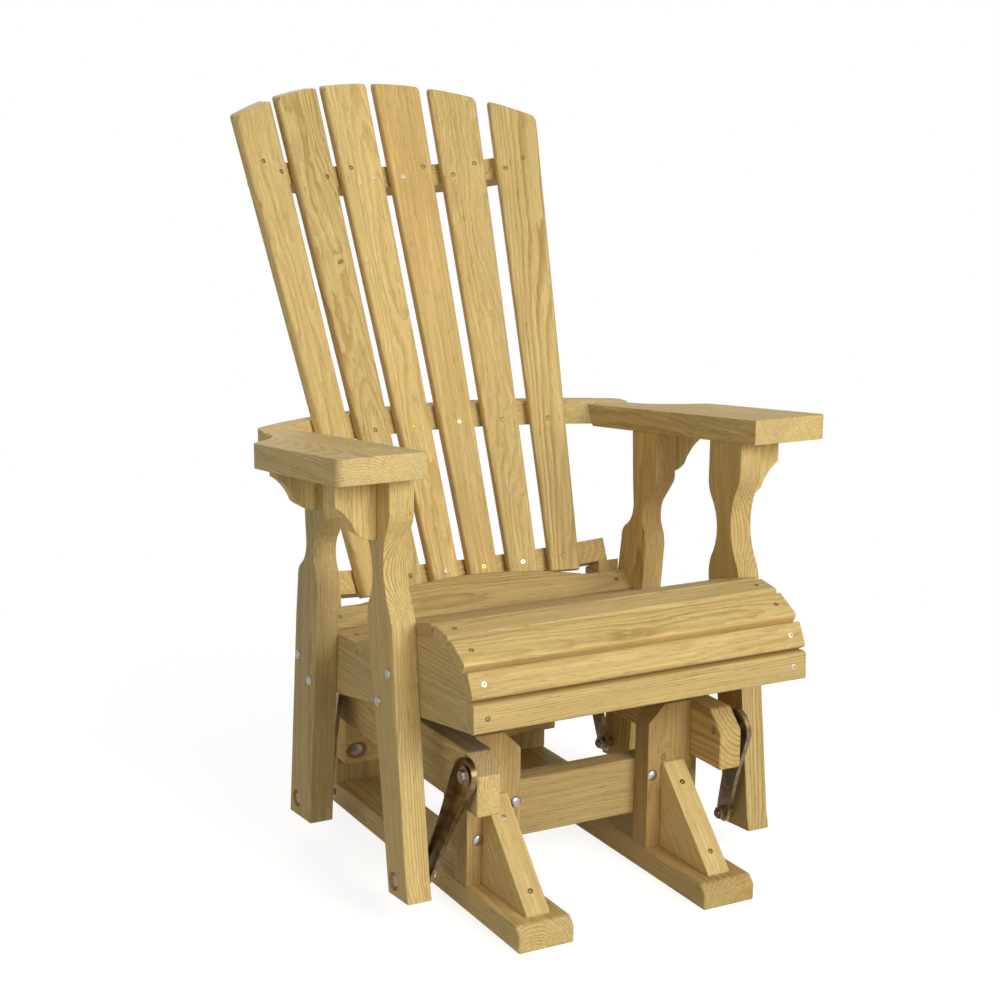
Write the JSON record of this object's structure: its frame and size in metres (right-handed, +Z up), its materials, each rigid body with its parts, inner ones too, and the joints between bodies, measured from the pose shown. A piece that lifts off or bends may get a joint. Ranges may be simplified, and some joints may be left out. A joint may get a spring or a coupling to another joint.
{
  "type": "adirondack glider chair",
  "caption": "Slatted wooden lounge chair with fanned back, broad arms and a seat hung on four swing arms from a fixed sled base.",
  "frame": {"origin": "on the floor, under the middle of the overall box at rest", "axes": "+X to the sitter's left, which is the viewer's right from the front, +Y to the back, +Z up"},
  "size_m": [0.814, 0.9394, 1.181],
  "materials": {
    "pine": "bare planed softwood",
    "arm_steel": "satin bronze coat",
    "zinc_steel": "zinc plated",
    "bush_bronze": "plain bearing bronze"
  },
  "bodies": {
    "base": {"brace_front_left": "pine", "brace_front_right": "pine", "brace_rear_left": "pine", "brace_rear_right": "pine", "cross_rail_front": "pine", "cross_rail_rear": "pine", "hanger_bolts": "zinc_steel", "hanger_rail_left": "pine", "hanger_rail_right": "pine", "post_front_left": "pine", "post_front_right": "pine", "post_rear_left": "pine", "post_rear_right": "pine", "runner_left": "pine", "runner_right": "pine"},
    "link_front_left": {"swing_arm_front_left": "arm_steel", "bushes_front_left": "bush_bronze"},
    "link_front_right": {"swing_arm_front_right": "arm_steel", "bushes_front_right": "bush_bronze"},
    "link_rear_left": {"swing_arm_rear_left": "arm_steel", "bushes_rear_left": "bush_bronze", "foot_bolt_rear_left": "zinc_steel"},
    "link_rear_right": {"swing_arm_rear_right": "arm_steel", "bushes_rear_right": "bush_bronze", "foot_bolt_rear_right": "zinc_steel"},
    "seat": {"arm_rest_left": "pine", "arm_rest_right": "pine", "back_rail_lower": "pine", "back_rail_middle": "pine", "back_rail_top": "pine", "back_slat_1": "pine", "back_slat_2": "pine", "back_slat_3": "pine", "back_slat_4": "pine", "back_slat_5": "pine", "back_slat_6": "pine", "corbel_front_left": "pine", "corbel_front_right": "pine", "corbel_rear_left": "pine", "corbel_rear_right": "pine", "foot_bolts_front": "zinc_steel", "leg_front_left": "pine", "leg_front_right": "pine", "leg_rear_left": "pine", "leg_rear_right": "pine", "seat_slat_1": "pine", "seat_slat_2": "pine", "seat_slat_3": "pine", "seat_slat_4": "pine", "seat_slat_5": "pine", "seat_slat_6": "pine", "seat_slat_7": "pine", "seat_slat_8": "pine", "seat_slat_9": "pine", "side_board_left": "pine", "side_board_right": "pine"}
  },
  "joints": [
    {"name": "swing_front_left", "type": "hinge", "parent": "base", "child": "link_front_left", "pos_m": [-0.257, -0.36587, 0.236], "axis": [1, 0, 0], "range_deg": [-12, 12]},
    {"name": "seat_hinge", "type": "hinge", "parent": "link_front_left", "child": "seat", "pos_m": [-0.257, -0.29687, 0.067], "axis": [1, 0, 0], "range_deg": [-15.1, 15.1]},
    {"name": "swing_front_right", "type": "hinge", "parent": "base", "child": "link_front_right", "pos_m": [0.257, -0.36587, 0.236], "axis": [1, 0, 0], "range_deg": [-12, 12]},
    {"name": "swing_rear_left", "type": "hinge", "parent": "base", "child": "link_rear_left", "pos_m": [-0.257, 0.08613, 0.236], "axis": [1, 0, 0], "range_deg": [-12, 12]},
    {"name": "swing_rear_right", "type": "hinge", "parent": "base", "child": "link_rear_right", "pos_m": [0.257, 0.08613, 0.236], "axis": [1, 0, 0], "range_deg": [-12, 12]}
  ],
  "couplings": [
    {"joint": "seat_hinge", "follows": "swing_front_left", "ratio": -1.2535},
    {"joint": "swing_front_right", "follows": "swing_front_left", "ratio": 1},
    {"joint": "swing_rear_left", "follows": "swing_front_left", "ratio": 1},
    {"joint": "swing_rear_right", "follows": "swing_front_left", "ratio": 1}
  ]
}
